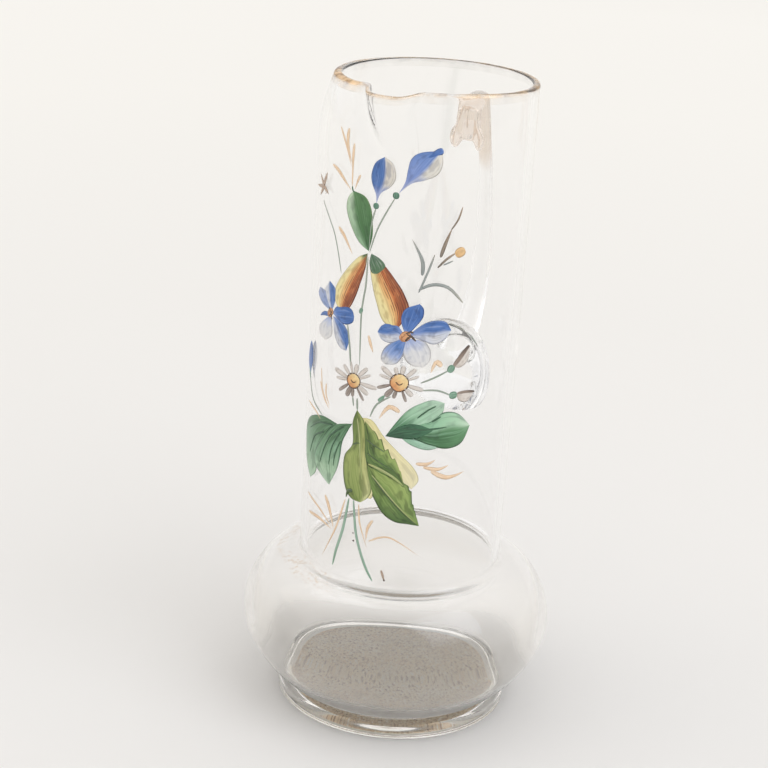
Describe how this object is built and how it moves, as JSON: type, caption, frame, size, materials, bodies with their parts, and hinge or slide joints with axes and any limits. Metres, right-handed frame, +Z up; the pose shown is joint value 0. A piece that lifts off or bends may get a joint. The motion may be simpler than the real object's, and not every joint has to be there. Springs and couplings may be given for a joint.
{
  "type": "glass jug",
  "caption": "Clear blown glass jug: low round bulb on a foot, tall straight neck with pinched spout, applied loop handle, enamelled flower spray and gilt rim.",
  "frame": {"origin": "on the jug's upright axis, at the underside of its foot", "axes": "+Z up; the spout faces -Y and the handle +Y"},
  "size_m": [0.1226, 0.134, 0.2499],
  "materials": {
    "clear_glass": "polished",
    "speckled_layer": "matt",
    "gilding": "worn",
    "gilt_paint": "satin",
    "blue_enamel": "gloss",
    "daisy_enamel": "gloss",
    "green_enamel": "gloss",
    "olive_enamel": "gloss",
    "yellow_enamel": "gloss",
    "amber_enamel": "gloss",
    "brown_enamel": "gloss",
    "grey_enamel": "gloss"
  },
  "bodies": {
    "root": {"body": "clear_glass", "foot": "clear_glass", "speckled_disc": "speckled_layer", "handle": "clear_glass", "rim_gilding": "gilding", "daisy_left": "daisy_enamel", "daisy_right": "daisy_enamel", "bud_left": "blue_enamel", "bud_right": "blue_enamel", "upper_leaf": "green_enamel", "sheath_left": "amber_enamel", "sheath_right": "amber_enamel", "flower_left": "blue_enamel", "flower_right": "blue_enamel", "side_petal": "blue_enamel", "side_flower": "brown_enamel", "daisy_bud_upper": "brown_enamel", "daisy_bud_lower": "brown_enamel", "leaf_left": "green_enamel", "leaf_right": "green_enamel", "leaf_centre_left": "olive_enamel", "leaf_centre_right": "olive_enamel", "leaf_centre_yellow": "yellow_enamel", "grey_sprig": "grey_enamel", "stems": "green_enamel", "gilt_grasses": "gilt_paint"}
  },
  "joints": []
}
